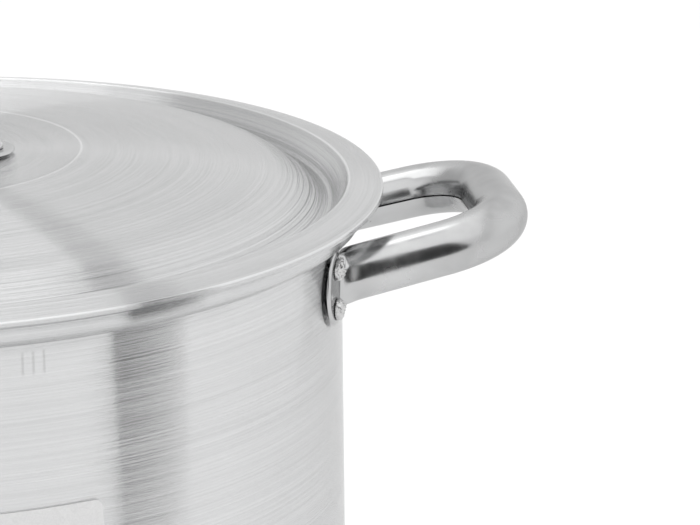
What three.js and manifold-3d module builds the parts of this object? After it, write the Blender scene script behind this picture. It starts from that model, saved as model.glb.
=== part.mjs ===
// A loose-lidded aluminium stockpot: a deep spun body with a rolled rim, a spun lid that
// drops over the rim, and three handles bent from tube, each held by rivets.
// Millimetres, +Z up. The origin is the centre of the flat base; the side handles lie along X.
import * as THREE from "three";
import { mergeVertices } from "three/addons/utils/BufferGeometryUtils.js";
import Module from "manifold-3d";

const wasm = await Module();
wasm.setup();

// Driving dimensions.
const POT_RADIUS = 200;
const POT_HEIGHT = 360;
const POT_WALL = 2;
const BASE_THICKNESS = 5;
const BASE_CORNER = 20;
const RIM_BEAD_RADIUS = 6.6;

const LID_RADIUS = 218.6;
const LID_SHEET = 1.6;
const LID_EDGE_HEIGHT = 2.2;
const LID_FLANGE_WIDTH = 15.3;
const LID_FLANGE_SLOPE = 0.21;
const LID_EDGE_ABOVE_RIM = 1;
const LID_DISC_RADIUS = 85;
const LID_DISC_RISE = 16.9;
const LID_DOME_APEX = 20.33;
const LID_DOME_CURVE = 0.000475;
const LID_DOME_RADIUS = 170;

const TUBE_RADIUS = 12.1;
const TUBE_WALL = 1;
const LOOP_HEIGHT = 325;
const LOOP_HALF_WIDTH = 51.6;
const LOOP_TOE_IN = 4;
const LOOP_REACH = 274;
const LOOP_CORNER = 34.6;
const LOOP_TILT = 11.6;
const TAB_WIDTH = 33.6;
const TAB_THICKNESS = 2 * TUBE_WALL;
const TAB_REACH = 34.5;
const FOLD_LENGTH = 15;

const BOW_TURN = -13;
const BOW_HALF_THICKNESS = 7;
const BOW_HALF_WIDTH = 15.5;
const BOW_HALF_LENGTH = 56;
const BOW_LEG = 33.5;
const BOW_HEIGHT = 38;
const BOW_CORNER = 17;

const RIVET_HEAD_RADIUS = 5;
const RIVET_HEAD_HEIGHT = 3.2;
const RIVET_SHANK_RADIUS = 2.4;
const RIVET_TAIL_RADIUS = 4.4;
const RIVET_TAIL_HEIGHT = 1.2;
const RIVET_SPACING = 18;
const RIVET_REACH = 20.8;
const BOW_RIVET_REACH = 46;

const LABEL_WIDTH = 75;
const LABEL_HEIGHT = 45;
const LABEL_THICKNESS = 0.4;
const LABEL_TOP = 275.3;
const LABEL_TURN = -78.6;

// Room left between two pieces that touch, and how finely round shapes are cut.
const GAP = 0.3;
const ROUND_STEPS = 56;
const TUBE_SIDES = 12;
const RIVET_SIDES = 10;

// Places worked out from the dimensions above.
const LID_EDGE_Z = POT_HEIGHT + LID_EDGE_ABOVE_RIM;
const BEAD_CENTRE = new THREE.Vector2(
  POT_RADIUS - POT_WALL + RIM_BEAD_RADIUS,
  POT_HEIGHT - RIM_BEAD_RADIUS,
);
const DISC_TOP = LID_EDGE_Z + LID_DISC_RISE;
const TAB_CENTRE_RADIUS = POT_RADIUS + GAP + TAB_THICKNESS / 2;

const finish = (color, roughness, metalness) =>
  new THREE.MeshStandardMaterial({ color, roughness, metalness });
const spunAluminium = finish(0xcfd0d2, 0.38, 1);
const handleMetal = finish(0xbfc0c2, 0.22, 1);
const rivetMetal = finish(0xc8c9cb, 0.2, 1);
const labelFilm = finish(0xe4e4e2, 0.35, 0);

const radians = THREE.MathUtils.degToRad;
const { lerp, smoothstep } = THREE.MathUtils;

// Geometry in and out of the boolean library.
function toSolid(geometry) {
  const bare = geometry.clone();
  bare.deleteAttribute("normal");
  bare.deleteAttribute("uv");
  const merged = mergeVertices(bare, 1e-4);
  const corners = Array.from(merged.index.array);
  const triVerts = [];
  for (let i = 0; i < corners.length; i += 3) {
    const [a, b, c] = corners.slice(i, i + 3);
    if (a !== b && b !== c && c !== a) triVerts.push(a, b, c);
  }
  const mesh = new wasm.Mesh({
    numProp: 3,
    vertProperties: new Float32Array(merged.attributes.position.array),
    triVerts: new Uint32Array(triVerts),
  });
  return new wasm.Manifold(mesh);
}

function fromSolid(solid) {
  const mesh = solid.getMesh();
  const geometry = new THREE.BufferGeometry();
  geometry.setAttribute("position", new THREE.BufferAttribute(mesh.vertProperties, 3));
  geometry.setIndex(new THREE.BufferAttribute(mesh.triVerts, 1));
  geometry.computeVertexNormals();
  return geometry;
}

// Points on an arc, from one angle to the other in degrees.
function arc(centre, radius, from, to, steps) {
  const points = [];
  for (let i = 0; i <= steps; i++) {
    const angle = radians(lerp(from, to, i / steps));
    const x = centre.x + radius * Math.cos(angle);
    points.push(new THREE.Vector2(x, centre.y + radius * Math.sin(angle)));
  }
  return points;
}

// A profile of radius and height, turned about Z.
function turned(profile, steps = ROUND_STEPS) {
  return new THREE.LatheGeometry(profile, steps).rotateX(Math.PI / 2);
}

// The same line moved sideways by a sheet's thickness, to its right as it is followed.
function offsetLine(points, distance) {
  return points.map((point, i) => {
    const before = points[Math.max(i - 1, 0)];
    const after = points[Math.min(i + 1, points.length - 1)];
    const into = point.clone().sub(before).normalize();
    const out = after.clone().sub(point).normalize();
    if (i === 0) into.copy(out);
    if (i === points.length - 1) out.copy(into);
    const along = into.clone().add(out).normalize();
    const reach = distance / along.dot(into);
    return new THREE.Vector2(point.x + along.y * reach, point.y - along.x * reach);
  });
}

// A solid swept through stations, each with a centre, two directions and two half sizes.
function swept(stations, sides, turn = 0) {
  const rows = stations.length - 1;
  const geometry = new THREE.CylinderGeometry(1, 1, 1, sides, rows);
  const position = geometry.attributes.position;
  const vertex = new THREE.Vector3();
  for (let i = 0; i < position.count; i++) {
    vertex.fromBufferAttribute(position, i);
    const station = stations[Math.round((vertex.y + 0.5) * rows)];
    const angle = Math.atan2(vertex.z, vertex.x) + turn;
    const reach = Math.hypot(vertex.x, vertex.z);
    const place = station.centre.clone();
    place.addScaledVector(station.side, Math.cos(angle) * reach * station.halfWidth);
    place.addScaledVector(station.up, Math.sin(angle) * reach * station.halfHeight);
    if (station.seat) station.seat(place);
    position.setXYZ(i, place.x, place.y, place.z);
  }
  return geometry;
}

// The body: one sheet from the base's middle, up the wall and rolled outwards at the rim.
function potProfile() {
  const outerCorner = new THREE.Vector2(POT_RADIUS - BASE_CORNER, BASE_CORNER);
  const innerCornerRadius = BASE_CORNER - POT_WALL;
  const innerCorner = new THREE.Vector2(outerCorner.x, BASE_THICKNESS + innerCornerRadius);
  const rollEnd = -112;
  return [
    new THREE.Vector2(0, 0),
    ...arc(outerCorner, BASE_CORNER, -90, 0, 4),
    ...arc(BEAD_CENTRE, RIM_BEAD_RADIUS - POT_WALL, 180, rollEnd, 7),
    ...arc(BEAD_CENTRE, RIM_BEAD_RADIUS, rollEnd, 180, 12),
    ...arc(innerCorner, innerCornerRadius, 0, -90, 4),
    new THREE.Vector2(0, BASE_THICKNESS),
  ];
}

// The lid's upper face from the middle outwards: disc, dome, channel, wall and flange.
function lidUpperLine() {
  const at = (radius, rise) => new THREE.Vector2(radius, LID_EDGE_Z + rise);
  const dome = [];
  const domeSteps = 4;
  for (let i = 0; i <= domeSteps; i++) {
    const radius = lerp(LID_DISC_RADIUS, LID_DOME_RADIUS, i / domeSteps);
    dome.push(at(radius, LID_DOME_APEX - LID_DOME_CURVE * radius * radius));
  }
  const wallRadius = RIM_BEAD_RADIUS + LID_SHEET + GAP;
  const wall = arc(BEAD_CENTRE, wallRadius, 172, 118, 4);
  const shoulder = dome.at(-1);
  const wallFoot = wall[0];
  const channel = new THREE.CubicBezierCurve(
    shoulder,
    new THREE.Vector2(shoulder.x + 12, shoulder.y - 1.9),
    new THREE.Vector2(wallFoot.x - 2.7, wallFoot.y - 4.6),
    wallFoot,
  ).getPoints(7);
  const creaseRadius = LID_RADIUS - LID_FLANGE_WIDTH;
  const crease = at(creaseRadius, LID_FLANGE_WIDTH * LID_FLANGE_SLOPE);
  const edge = at(LID_RADIUS, 0);
  return [at(0, LID_DISC_RISE), ...dome, ...channel.slice(1), ...wall.slice(1), crease, edge];
}

function lidProfile() {
  const upper = lidUpperLine();
  const lower = offsetLine(upper, LID_SHEET);
  lower[0].x = 0;
  lower.at(-1).set(LID_RADIUS, LID_EDGE_Z - LID_EDGE_HEIGHT);
  return [...lower, ...upper.reverse()];
}

// A side handle's path in its own plane, seen from above: along the wall, out and round.
// X is the distance from the pot's axis and Y runs along the wall, negative on this half.
function loopHalfPath() {
  const stations = [];
  const wallX = Math.sqrt(POT_RADIUS ** 2 - LOOP_HALF_WIDTH ** 2);
  const tabStart = (LOOP_HALF_WIDTH + TAB_REACH) / TAB_CENTRE_RADIUS;
  const tabEnd = (LOOP_HALF_WIDTH + TUBE_RADIUS + 2) / TAB_CENTRE_RADIUS;
  const tabSteps = 5;
  for (let i = 0; i <= tabSteps; i++) {
    const angle = -lerp(tabStart, tabEnd, Math.sin((i / tabSteps) * (Math.PI / 2)) ** 1.5);
    const x = TAB_CENTRE_RADIUS * Math.cos(angle);
    const y = TAB_CENTRE_RADIUS * Math.sin(angle);
    const roundness = Math.min(1, (i + 0.6) / 3);
    const heightShare = Math.sqrt(1 - (1 - roundness) ** 2);
    stations.push({ x, y, heading: angle + Math.PI / 2, flat: 1, heightShare });
  }
  const foldTop = new THREE.Vector2(wallX + FOLD_LENGTH, -LOOP_HALF_WIDTH);
  const foldFoot = new THREE.Vector2(stations.at(-1).x, stations.at(-1).y);
  const fold = new THREE.CubicBezierCurve(
    foldFoot,
    new THREE.Vector2(foldFoot.x + 1.5, foldFoot.y + 8),
    new THREE.Vector2(foldTop.x - 9, foldTop.y - 1),
    foldTop,
  );
  const foldSteps = 5;
  for (let i = 1; i < foldSteps; i++) {
    const share = i / foldSteps;
    const { x, y } = fold.getPoint(share);
    const tangent = fold.getTangent(share);
    const heading = Math.atan2(tangent.y, tangent.x);
    stations.push({ x, y, heading, flat: 1 - smoothstep(share, 0.1, 1), heightShare: 1 });
  }
  const toeIn = radians(LOOP_TOE_IN);
  const legRun = LOOP_REACH - foldTop.x - LOOP_CORNER * (1 - Math.sin(toeIn));
  const legSteps = 3;
  for (let i = 0; i <= legSteps; i++) {
    const run = (legRun * i) / legSteps;
    const y = foldTop.y + run * Math.tan(toeIn);
    stations.push({ x: foldTop.x + run, y, heading: toeIn, flat: 0, heightShare: 1 });
  }
  const legEnd = stations.at(-1);
  const cornerSteps = 5;
  for (let i = 1; i <= cornerSteps; i++) {
    const heading = lerp(toeIn, Math.PI / 2, i / cornerSteps);
    const x = legEnd.x + LOOP_CORNER * (Math.sin(heading) - Math.sin(toeIn));
    const y = legEnd.y + LOOP_CORNER * (Math.cos(toeIn) - Math.cos(heading));
    stations.push({ x, y, heading, flat: 0, heightShare: 1 });
  }
  return stations;
}

// The foot is pressed against the pot, so no point of it goes nearer than the wall.
function seatOnPot(place) {
  const distance = Math.hypot(place.x, place.y);
  const nearest = POT_RADIUS + GAP;
  if (distance < nearest) {
    place.x *= nearest / distance;
    place.y *= nearest / distance;
  }
}

// Both halves of the loop, tilted up and given their section sizes, less a skin's depth.
function loopStations(depth = 0) {
  const wallX = Math.sqrt(POT_RADIUS ** 2 - LOOP_HALF_WIDTH ** 2);
  const tilt = radians(LOOP_TILT);
  const half = loopHalfPath().map(({ x, y, heading, flat, heightShare }) => {
    const out = Math.max(x - wallX, 0) * (1 - flat);
    const lean = tilt * (1 - flat);
    const centre = new THREE.Vector3(x - out * (1 - Math.cos(tilt)), y, LOOP_HEIGHT + out * Math.sin(tilt));
    const across = Math.sin(heading);
    const side = new THREE.Vector3(across * Math.cos(lean), -Math.cos(heading), across * Math.sin(lean));
    const up = new THREE.Vector3(-Math.sin(lean), 0, Math.cos(lean));
    const halfWidth = lerp(TUBE_RADIUS, TAB_THICKNESS / 2, flat) - depth;
    const halfHeight = lerp(TUBE_RADIUS, TAB_WIDTH / 2, flat) * heightShare - depth;
    return { centre, side, up, halfWidth, halfHeight, flat, seat: seatOnPot };
  });
  const mirrored = half.map((station) => {
    const centre = station.centre.clone().setY(-station.centre.y);
    const side = station.side.clone().setY(-station.side.y);
    return { ...station, centre, side };
  });
  return [...half, ...mirrored.reverse()];
}

// A slot along a tube's inner side, where the two edges of the rolled sheet meet.
function seamStations(stations, radius, wall) {
  return stations.map((station) => ({
    ...station,
    centre: station.centre.clone().addScaledVector(station.side, wall / 2 - radius),
    halfWidth: wall,
    halfHeight: 0.6,
    seat: undefined,
  }));
}

// A tube with closed, flattened ends, hollow between them and open along its seam.
function seamedTube(outerStations, innerStations, radius, wall) {
  const round = (station) => station.flat < 0.25;
  const hollow = innerStations.filter(round);
  const seam = seamStations(outerStations.filter((station) => station.flat === 0), radius, wall);
  return toSolid(swept(outerStations, TUBE_SIDES))
    .subtract(toSolid(swept(hollow, TUBE_SIDES)))
    .subtract(toSolid(swept(seam, 4, Math.PI / 4)));
}

// The lid's handle path in its upright plane: along the disc, up and across, for X below 0.
function bowStations(depth = 0) {
  const tabZ = DISC_TOP + GAP + TAB_THICKNESS / 2;
  const foldRun = 3.5;
  const foldHeight = 13;
  const tabEnd = -BOW_LEG - foldRun;
  const half = [];
  const add = (x, z, heading, flat, heightShare = 1) => {
    const halfWidth = lerp(BOW_HALF_THICKNESS, TAB_THICKNESS / 2, flat) - depth;
    const halfHeight = lerp(BOW_HALF_WIDTH, TAB_WIDTH / 2, flat) * heightShare - depth;
    const side = new THREE.Vector3(-Math.sin(heading), 0, Math.cos(heading));
    const up = new THREE.Vector3(0, 1, 0);
    const centre = new THREE.Vector3(x, 0, z);
    half.push({ centre, side, up, halfWidth, halfHeight, flat, seat: seatOnDisc });
  };
  const tabSteps = 4;
  for (let i = 0; i <= tabSteps; i++) {
    const x = lerp(-BOW_HALF_LENGTH, tabEnd, i / tabSteps);
    const roundness = Math.min(1, (i + 0.5) / 3);
    add(x, tabZ, 0, 1, Math.sqrt(1 - (1 - roundness) ** 2));
  }
  const foldSteps = 4;
  for (let i = 1; i < foldSteps; i++) {
    const share = i / foldSteps;
    const turn = (share * Math.PI) / 2;
    const x = tabEnd + foldRun * Math.sin(turn);
    const z = tabZ + foldHeight * (1 - Math.cos(turn));
    add(x, z, turn, 1 - smoothstep(share, 0.1, 1));
  }
  add(-BOW_LEG, tabZ + foldHeight, Math.PI / 2, 0);
  const cornerSteps = 5;
  for (let i = 0; i <= cornerSteps; i++) {
    const turn = lerp(Math.PI / 2, 0, i / cornerSteps);
    const x = -BOW_LEG + BOW_CORNER * (1 - Math.sin(turn));
    const z = DISC_TOP + BOW_HEIGHT - BOW_CORNER * (1 - Math.cos(turn));
    add(x, z, turn, 0);
  }
  const mirrored = half.map((station) => {
    const centre = station.centre.clone().setX(-station.centre.x);
    const side = station.side.clone().setX(-station.side.x);
    return { ...station, centre, side };
  });
  return [...half, ...mirrored.reverse()];
}

function seatOnDisc(place) {
  place.z = Math.max(place.z, DISC_TOP + GAP);
}

// A rivet standing on Z: its tail below, its shank through the sheets, its domed head on top.
function rivetGeometry(gripLength) {
  const domeRadius = (RIVET_HEAD_RADIUS ** 2 + RIVET_HEAD_HEIGHT ** 2) / (2 * RIVET_HEAD_HEIGHT);
  const domeCentre = new THREE.Vector2(0, RIVET_HEAD_HEIGHT - domeRadius);
  const rimAngle = THREE.MathUtils.radToDeg(Math.asin(-domeCentre.y / domeRadius));
  const profile = [
    new THREE.Vector2(0, -gripLength - RIVET_TAIL_HEIGHT),
    new THREE.Vector2(RIVET_TAIL_RADIUS - 1, -gripLength - RIVET_TAIL_HEIGHT),
    new THREE.Vector2(RIVET_TAIL_RADIUS, -gripLength),
    new THREE.Vector2(RIVET_SHANK_RADIUS, -gripLength),
    new THREE.Vector2(RIVET_SHANK_RADIUS, 0),
    ...arc(domeCentre, domeRadius, rimAngle, 90, 3),
  ];
  profile.at(-1).x = 0;
  return turned(profile, RIVET_SIDES);
}

// The hole that a rivet's shank goes through, standing on Z and longer than its grip.
function rivetHole() {
  const radius = RIVET_SHANK_RADIUS + GAP;
  return new THREE.CylinderGeometry(radius, radius, 30, RIVET_SIDES).rotateX(Math.PI / 2);
}

// Where the side handles' rivets go, as a placement that turns Z outwards from the pot's axis.
function sideRivetPlace(sideTurn, along, above) {
  const turn = sideTurn + (along * (LOOP_HALF_WIDTH + RIVET_REACH)) / TAB_CENTRE_RADIUS;
  const headRadius = POT_RADIUS + TAB_THICKNESS + 2 * GAP;
  const height = LOOP_HEIGHT + (above * RIVET_SPACING) / 2;
  return new THREE.Matrix4()
    .makeRotationZ(turn)
    .multiply(new THREE.Matrix4().makeTranslation(headRadius, 0, height))
    .multiply(new THREE.Matrix4().makeRotationY(Math.PI / 2));
}

function bowRivetPlace(along) {
  const headHeight = DISC_TOP + TAB_THICKNESS + 2 * GAP;
  return new THREE.Matrix4()
    .makeRotationZ(radians(BOW_TURN))
    .multiply(new THREE.Matrix4().makeTranslation(along * BOW_RIVET_REACH, 0, headHeight));
}

// A blank sticker bent to the wall, made as an arc-shaped strip drawn from above.
function labelGeometry() {
  const inner = POT_RADIUS + GAP;
  const outer = inner + LABEL_THICKNESS;
  const halfTurn = LABEL_WIDTH / POT_RADIUS / 2;
  const outline = new THREE.Shape();
  outline.absarc(0, 0, outer, -halfTurn, halfTurn, false);
  outline.absarc(0, 0, inner, halfTurn, -halfTurn, true);
  outline.closePath();
  const strip = new THREE.ExtrudeGeometry(outline, {
    depth: LABEL_HEIGHT,
    bevelEnabled: false,
    curveSegments: 8,
  });
  return strip.rotateZ(radians(LABEL_TURN)).translate(0, 0, LABEL_TOP - LABEL_HEIGHT);
}

const pot = new THREE.Group();

function addPiece(name, geometry, material) {
  const mesh = new THREE.Mesh(geometry, material);
  mesh.name = name;
  pot.add(mesh);
}

// The side handles and their rivets, with each rivet's hole kept for the wall.
const sides = [
  { name: "right", turn: 0 },
  { name: "left", turn: Math.PI },
];
const ends = [
  { name: "front", along: -1 },
  { name: "rear", along: 1 },
];
const levels = [
  { name: "upper", above: 1 },
  { name: "lower", above: -1 },
];
const sideGrip = TAB_THICKNESS + POT_WALL + 4 * GAP;
const loop = seamedTube(loopStations(), loopStations(TUBE_WALL), TUBE_RADIUS, TUBE_WALL);
let body = toSolid(turned(potProfile()));
for (const side of sides) {
  let handle = toSolid(fromSolid(loop).rotateZ(side.turn));
  for (const end of ends) {
    // Seen from outside the pot, each handle's front foot is the one on the -Y side.
    const along = side.turn === 0 ? end.along : -end.along;
    for (const level of levels) {
      const place = sideRivetPlace(side.turn, along, level.above);
      const hole = toSolid(rivetHole().applyMatrix4(place));
      handle = handle.subtract(hole);
      body = body.subtract(hole);
      const rivet = rivetGeometry(sideGrip).applyMatrix4(place);
      addPiece(`${side.name}_handle_rivet_${end.name}_${level.name}`, rivet, rivetMetal);
    }
  }
  addPiece(`${side.name}_handle`, fromSolid(handle), handleMetal);
}
addPiece("pot_body", fromSolid(body), spunAluminium);
addPiece("body_label", labelGeometry(), labelFilm);

// The lid with its own handle, turned a little from the side handles.
const bowGrip = TAB_THICKNESS + LID_SHEET + 3 * GAP;
const bow = seamedTube(bowStations(), bowStations(TUBE_WALL), BOW_HALF_THICKNESS, TUBE_WALL);
let bowHandle = toSolid(fromSolid(bow).rotateZ(radians(BOW_TURN)));
let lid = toSolid(turned(lidProfile()));
for (const [name, along] of [["left", -1], ["right", 1]]) {
  const place = bowRivetPlace(along);
  const hole = toSolid(rivetHole().applyMatrix4(place));
  bowHandle = bowHandle.subtract(hole);
  lid = lid.subtract(hole);
  addPiece(`lid_handle_rivet_${name}`, rivetGeometry(bowGrip).applyMatrix4(place), rivetMetal);
}
addPiece("lid", fromSolid(lid), spunAluminium);
addPiece("lid_handle", fromSolid(bowHandle), handleMetal);

export default pot;
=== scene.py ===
"""The looks of the loose-lidded aluminium stockpot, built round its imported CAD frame.

Everything is in metres in the frame's own axes: +Z up, the side handles along X, and the
origin at the centre of the base. Places come from the CAD nodes' boxes.
"""

import math

import bmesh
import bpy
from mathutils import Matrix, Vector, noise


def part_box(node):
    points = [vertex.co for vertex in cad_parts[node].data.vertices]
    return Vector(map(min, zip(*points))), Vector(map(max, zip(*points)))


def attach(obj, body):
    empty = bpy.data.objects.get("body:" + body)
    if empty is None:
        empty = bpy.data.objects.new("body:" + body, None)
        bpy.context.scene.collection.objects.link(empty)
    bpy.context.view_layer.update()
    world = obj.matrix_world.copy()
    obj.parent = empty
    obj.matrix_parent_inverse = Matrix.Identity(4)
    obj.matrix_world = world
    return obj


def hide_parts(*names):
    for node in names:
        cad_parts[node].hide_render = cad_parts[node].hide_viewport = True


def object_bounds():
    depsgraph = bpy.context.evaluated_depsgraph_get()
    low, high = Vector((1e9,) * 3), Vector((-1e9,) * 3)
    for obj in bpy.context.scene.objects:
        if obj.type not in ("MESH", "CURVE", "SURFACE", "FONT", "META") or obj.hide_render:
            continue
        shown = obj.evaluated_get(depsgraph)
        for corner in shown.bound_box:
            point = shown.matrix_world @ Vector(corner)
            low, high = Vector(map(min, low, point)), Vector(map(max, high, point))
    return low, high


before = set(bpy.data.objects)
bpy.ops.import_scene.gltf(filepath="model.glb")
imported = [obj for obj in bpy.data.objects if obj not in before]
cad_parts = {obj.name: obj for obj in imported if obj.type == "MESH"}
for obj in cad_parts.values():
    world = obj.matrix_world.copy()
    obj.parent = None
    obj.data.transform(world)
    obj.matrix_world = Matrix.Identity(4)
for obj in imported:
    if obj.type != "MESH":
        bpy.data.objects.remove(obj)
cad_low, cad_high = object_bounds()

MM = 0.001

# The body's sheet and its rim; the curl's end is an angle in degrees.
POT_WALL = 2 * MM
BASE_THICKNESS = 5 * MM
BASE_CORNER = 20 * MM
BEAD_RADIUS = 6.6 * MM
BEAD_CURL_END = -112
WALL_END_BELOW_BEAD = 2 * MM

# The lid's sheet, edge, flange, disc and dome, and how softly its corners turn.
LID_SHEET = 1.6 * MM
LID_EDGE_HEIGHT = 2.2 * MM
LID_EDGE_ABOVE_RIM = 1 * MM
FLANGE_WIDTH = 15.3 * MM
FLANGE_SLOPE = 0.21
DISC_RADIUS = 85 * MM
DOME_RADIUS = 170 * MM
DOME_FALL = 0.475
DISC_ROUNDING = 1.4 * MM
CREASE_ROUNDING = 0.9 * MM
EDGE_ROUNDING = 0.4 * MM
FLANGE_BOW = 0.25 * MM
RIPPLE_HEIGHT = 0.012 * MM

# The lid's wall is an arc round the bead's centre, between two angles in degrees.
LID_WALL_ARC = (172, 122)

# Between any two pieces that touch.
GAP = 0.3 * MM

# The tube handles and their flattened feet.
TUBE_RADIUS = 12.1 * MM
LEG_SPACING = 51.6 * MM
TOE_IN = math.radians(4)
LOOP_TILT = math.radians(11.6)
LOOP_CORNER = 34.6 * MM
FOOT_WIDTH = 33.6 * MM
FOOT_NECK = 11 * MM
NECK_RISE = 1.3 * MM
FOOT_THICKNESS = 2 * MM
FOOT_RUN = 34.5 * MM
FOOT_TIP = 15 * MM
FOLD_LENGTH = 9 * MM
FOLD_MARGIN = 2.5 * MM
ROLLED_EDGE = 0.25
TUCKED_BACK = 0.82
SEAM_WIDTH = 0.8 * MM
SEAM_DEPTH = 3.5 * MM

# How far each skin of the fold runs straight on from the foot, and back from the leg.
FOLD_OUTER_RUNS = (3 * MM, 5 * MM)
FOLD_INNER_RUNS = (20 * MM, 6 * MM)

# The lid's handle.
BOW_HALF_LENGTH = 56 * MM
BOW_HALF_THICKNESS = 7 * MM
BOW_HALF_WIDTH = 15.5 * MM
BOW_LEG = 33.5 * MM
BOW_CORNER = 17 * MM
BOW_FOLD_RUN = 3.5 * MM
BOW_FOLD_HEIGHT = 13 * MM

# The rivets, their beaten heads and the tails behind the sheet.
RIVET_HEAD = 5 * MM
RIVET_HEIGHT = 3.2 * MM
RIVET_SHANK = 2.4 * MM
RIVET_TAIL = 4.4 * MM
RIVET_TAIL_HEIGHT = 1.2 * MM
RIVET_TAIL_EASE = 0.8 * MM
HAMMER_DEPTH = 1.1 * MM
HAMMER_SPACING = 2.4 * MM

# The film sticker on the body.
LABEL_BEARING = math.radians(-78.6)
LABEL_WIDTH = 75 * MM
LABEL_CORNER = 4 * MM
LABEL_THICKNESS = 0.4 * MM

# The brushing, and three short upright scuffs below the rim.
GROOVE_SPACING = 0.015 * MM
SCUFF_BEARINGS = [math.radians(bearing) for bearing in (-77.2, -75.9, -74.6)]
SCUFF_DEPTH = 0.1
SCUFF_TOP_BELOW_RIM = 19 * MM
SCUFF_LENGTH = 7 * MM

# How far in from a side handle's outer end its metal starts and ends turning duller.
WORN_START = 59.2 * MM
WORN_END = 22.2 * MM

# How finely round shapes are cut.
TURN_STEPS = 360
TUBE_STEPS = 56
SHARP_ANGLE = math.radians(50)
FACET_ANGLE = math.radians(24)

# Places read from the frame.
pot_low, pot_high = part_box("pot_body")
_, lid_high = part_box("lid")
POT_TOP = round(pot_high.z, 3)
BEAD_CENTRE = (pot_high.x - BEAD_RADIUS, POT_TOP - BEAD_RADIUS)
WALL_OUTSIDE = BEAD_CENTRE[0] - BEAD_RADIUS + POT_WALL
LID_RADIUS = lid_high.x
LID_EDGE_Z = POT_TOP + LID_EDGE_ABOVE_RIM
CREASE = (LID_RADIUS - FLANGE_WIDTH, LID_EDGE_Z + FLANGE_WIDTH * FLANGE_SLOPE)
DISC_TOP = lid_high.z


def lerp(low, high, share):
    """A share of the way from one number to another."""
    return low + (high - low) * share


def smooth(share, low=0.0, high=1.0):
    """0 up to low and 1 from high, easing in and out between them."""
    clipped = min(max((share - low) / (high - low), 0.0), 1.0)
    return clipped * clipped * (3 - 2 * clipped)


# ---------------------------------------------------------------- meshes


def grid_mesh(name, rows, runs=None):
    """A smooth mesh through rows of points; each row closes on itself.

    Points that meet, as at a pole or a tip, are merged. runs gives each row's distance
    along the piece, kept as an attribute so that a material can brush it lengthwise.
    """
    columns = len(rows[0])
    mesh = bpy.data.meshes.new(name)
    points = [point for row in rows for point in row]
    faces = []
    for i in range(len(rows) - 1):
        upper = i * columns
        lower = upper + columns
        for j in range(columns):
            k = (j + 1) % columns
            faces.append((upper + j, upper + k, lower + k, lower + j))
    mesh.from_pydata(points, [], faces)
    if runs:
        along = mesh.attributes.new("along", "FLOAT", "POINT")
        along.data.foreach_set("value", [run for run in runs for _ in range(columns)])
    merged = bmesh.new()
    merged.from_mesh(mesh)
    bmesh.ops.remove_doubles(merged, verts=merged.verts, dist=0.001 * MM)
    bmesh.ops.recalc_face_normals(merged, faces=merged.faces)
    merged.to_mesh(mesh)
    merged.free()
    mesh.shade_smooth()
    mesh.set_sharp_from_angle(angle=SHARP_ANGLE)
    piece = bpy.data.objects.new(name, mesh)
    bpy.context.scene.collection.objects.link(piece)
    return piece


def ring(radius, height, steps):
    """Points round a level circle about the Z axis."""
    points = []
    for j in range(steps):
        angle = 2 * math.pi * j / steps
        points.append(Vector((radius * math.cos(angle), radius * math.sin(angle), height)))
    return points


def turned(name, profile):
    """A closed profile of radius and height, turned about the pot's axis."""
    return grid_mesh(name, [ring(radius, height, TURN_STEPS) for radius, height in profile])


def arc(centre, radius, start, end, steps):
    """Points on an arc from one angle to another, in degrees."""
    points = []
    for i in range(steps + 1):
        angle = math.radians(lerp(start, end, i / steps))
        x = centre[0] + radius * math.cos(angle)
        points.append((x, centre[1] + radius * math.sin(angle)))
    return points


def rounded(before, corner, after, reach, steps=5):
    """A corner between two straight runs, rounded off within a short reach of it."""
    corner = Vector(corner)
    start = corner + (Vector(before) - corner).normalized() * reach
    end = corner + (Vector(after) - corner).normalized() * reach
    points = []
    for i in range(steps + 1):
        share = i / steps
        point = start.lerp(corner, share).lerp(corner.lerp(end, share), share)
        points.append(tuple(point))
    return points


def bezier(a, b, c, d, share):
    """A point on the cubic curve with these four control points."""
    rest = 1 - share
    return (
        Vector(a) * rest**3
        + Vector(b) * 3 * rest**2 * share
        + Vector(c) * 3 * rest * share**2
        + Vector(d) * share**3
    )


def offset_line(points, distance):
    """The same line moved to its right by a sheet's thickness."""
    moved = []
    for i, point in enumerate(points):
        before = Vector(points[max(i - 1, 0)])
        after = Vector(points[min(i + 1, len(points) - 1)])
        along = (after - before).normalized()
        moved.append((point[0] + along.y * distance, point[1] - along.x * distance))
    return moved


# ---------------------------------------------------------------- body and lid


def pot_profile():
    """The body's sheet: under the base, up the wall, over the rolled rim and down inside."""
    outer_corner = (WALL_OUTSIDE - BASE_CORNER, BASE_CORNER)
    inner_radius = BASE_CORNER - POT_WALL
    inner_corner = (outer_corner[0], BASE_THICKNESS + inner_radius)
    base_run = outer_corner[0]
    base_steps = 12
    under = [(base_run * i / base_steps, 0.0) for i in range(base_steps)]
    floor = [(base_run * (1 - i / base_steps), BASE_THICKNESS) for i in range(1, base_steps + 1)]
    wall_top = BEAD_CENTRE[1] - WALL_END_BELOW_BEAD
    wall_steps = 40
    wall = []
    inside_wall = []
    for i in range(1, wall_steps):
        share = i / wall_steps
        wall.append((WALL_OUTSIDE, lerp(BASE_CORNER, wall_top, share)))
        inside_wall.append((WALL_OUTSIDE - POT_WALL, lerp(wall_top, inner_corner[1], share)))
    return [
        *under,
        *arc(outer_corner, BASE_CORNER, -90, 0, 12),
        *wall,
        *arc(BEAD_CENTRE, BEAD_RADIUS - POT_WALL, 180, BEAD_CURL_END, 24),
        *arc(BEAD_CENTRE, BEAD_RADIUS, BEAD_CURL_END, 180, 36),
        *inside_wall,
        *arc(inner_corner, inner_radius, 0, -90, 12),
        *floor,
    ]


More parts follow.
